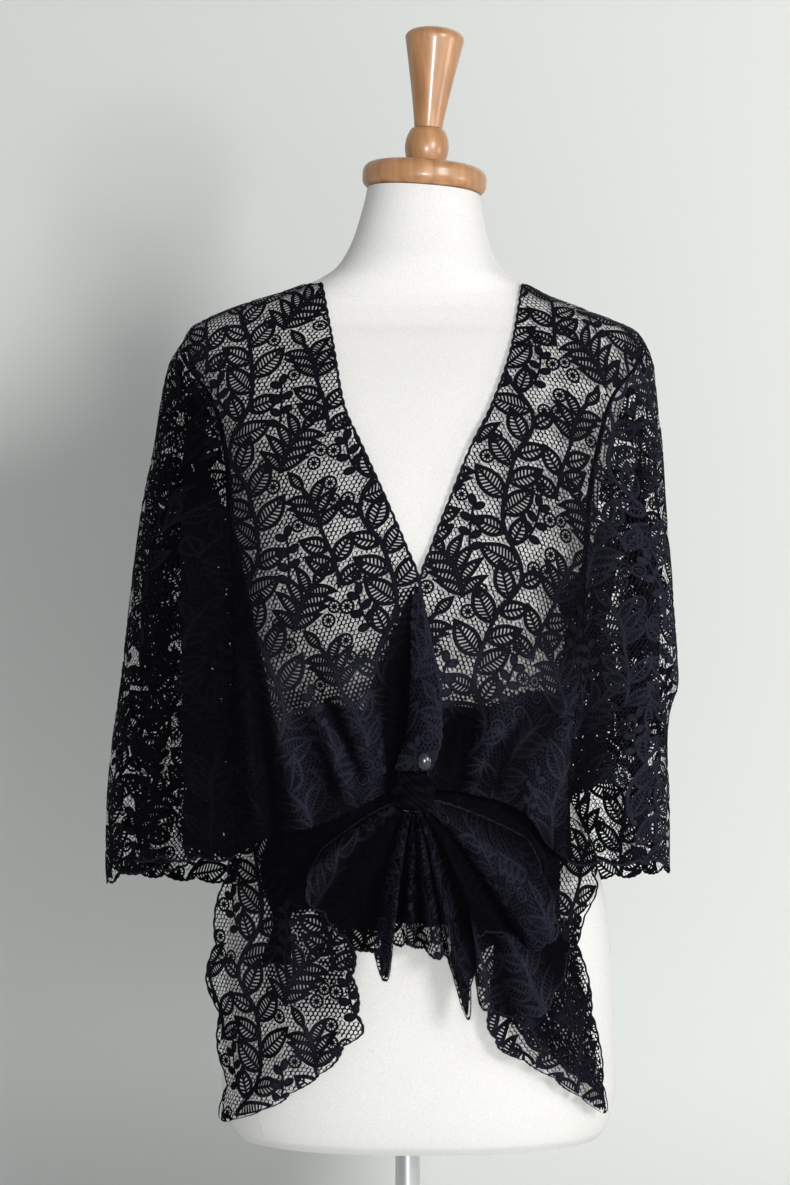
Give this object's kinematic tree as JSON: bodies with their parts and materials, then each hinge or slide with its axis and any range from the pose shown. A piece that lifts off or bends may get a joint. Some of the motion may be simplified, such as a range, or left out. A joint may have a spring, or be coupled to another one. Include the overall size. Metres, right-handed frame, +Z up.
{
  "type": "lace shawl on a limbless dress form",
  "caption": "Black lace shawl worn with a V neckline, open sleeves, a knotted waist and fanned tails, on a limbless dress form with a turned wooden cap and a pole stand.",
  "frame": {"origin": "middle of the underside of the round base, where the stand rests on a table", "axes": "+Z up along the pole, -Y out of the front of the shawl, +X towards the viewer's right"},
  "size_m": [0.4686, 0.3092, 1.1449],
  "materials": {
    "lace": "openwork lace of matt black yarn with a slight sheen on its raised leaves",
    "cover": "taut white jersey cover with fine seams",
    "wood": "turned and varnished beech",
    "steel": "polished steel tube and base",
    "button": "dark glossy button with pale flecks"
  },
  "bodies": {
    "root": {"back": "lace", "front_left": "lace", "front_right": "lace", "sleeve_left": "lace", "sleeve_right": "lace", "lapel": "lace", "tail_left": "lace", "tail_middle": "lace", "tail_right": "lace", "tail_under": "lace", "flap_left": "lace", "flap_right": "lace", "knot": "lace", "button": "button", "form": "cover", "cap": "wood", "bead": "wood", "finial": "wood", "base": "steel", "pole": "steel"}
  },
  "joints": []
}
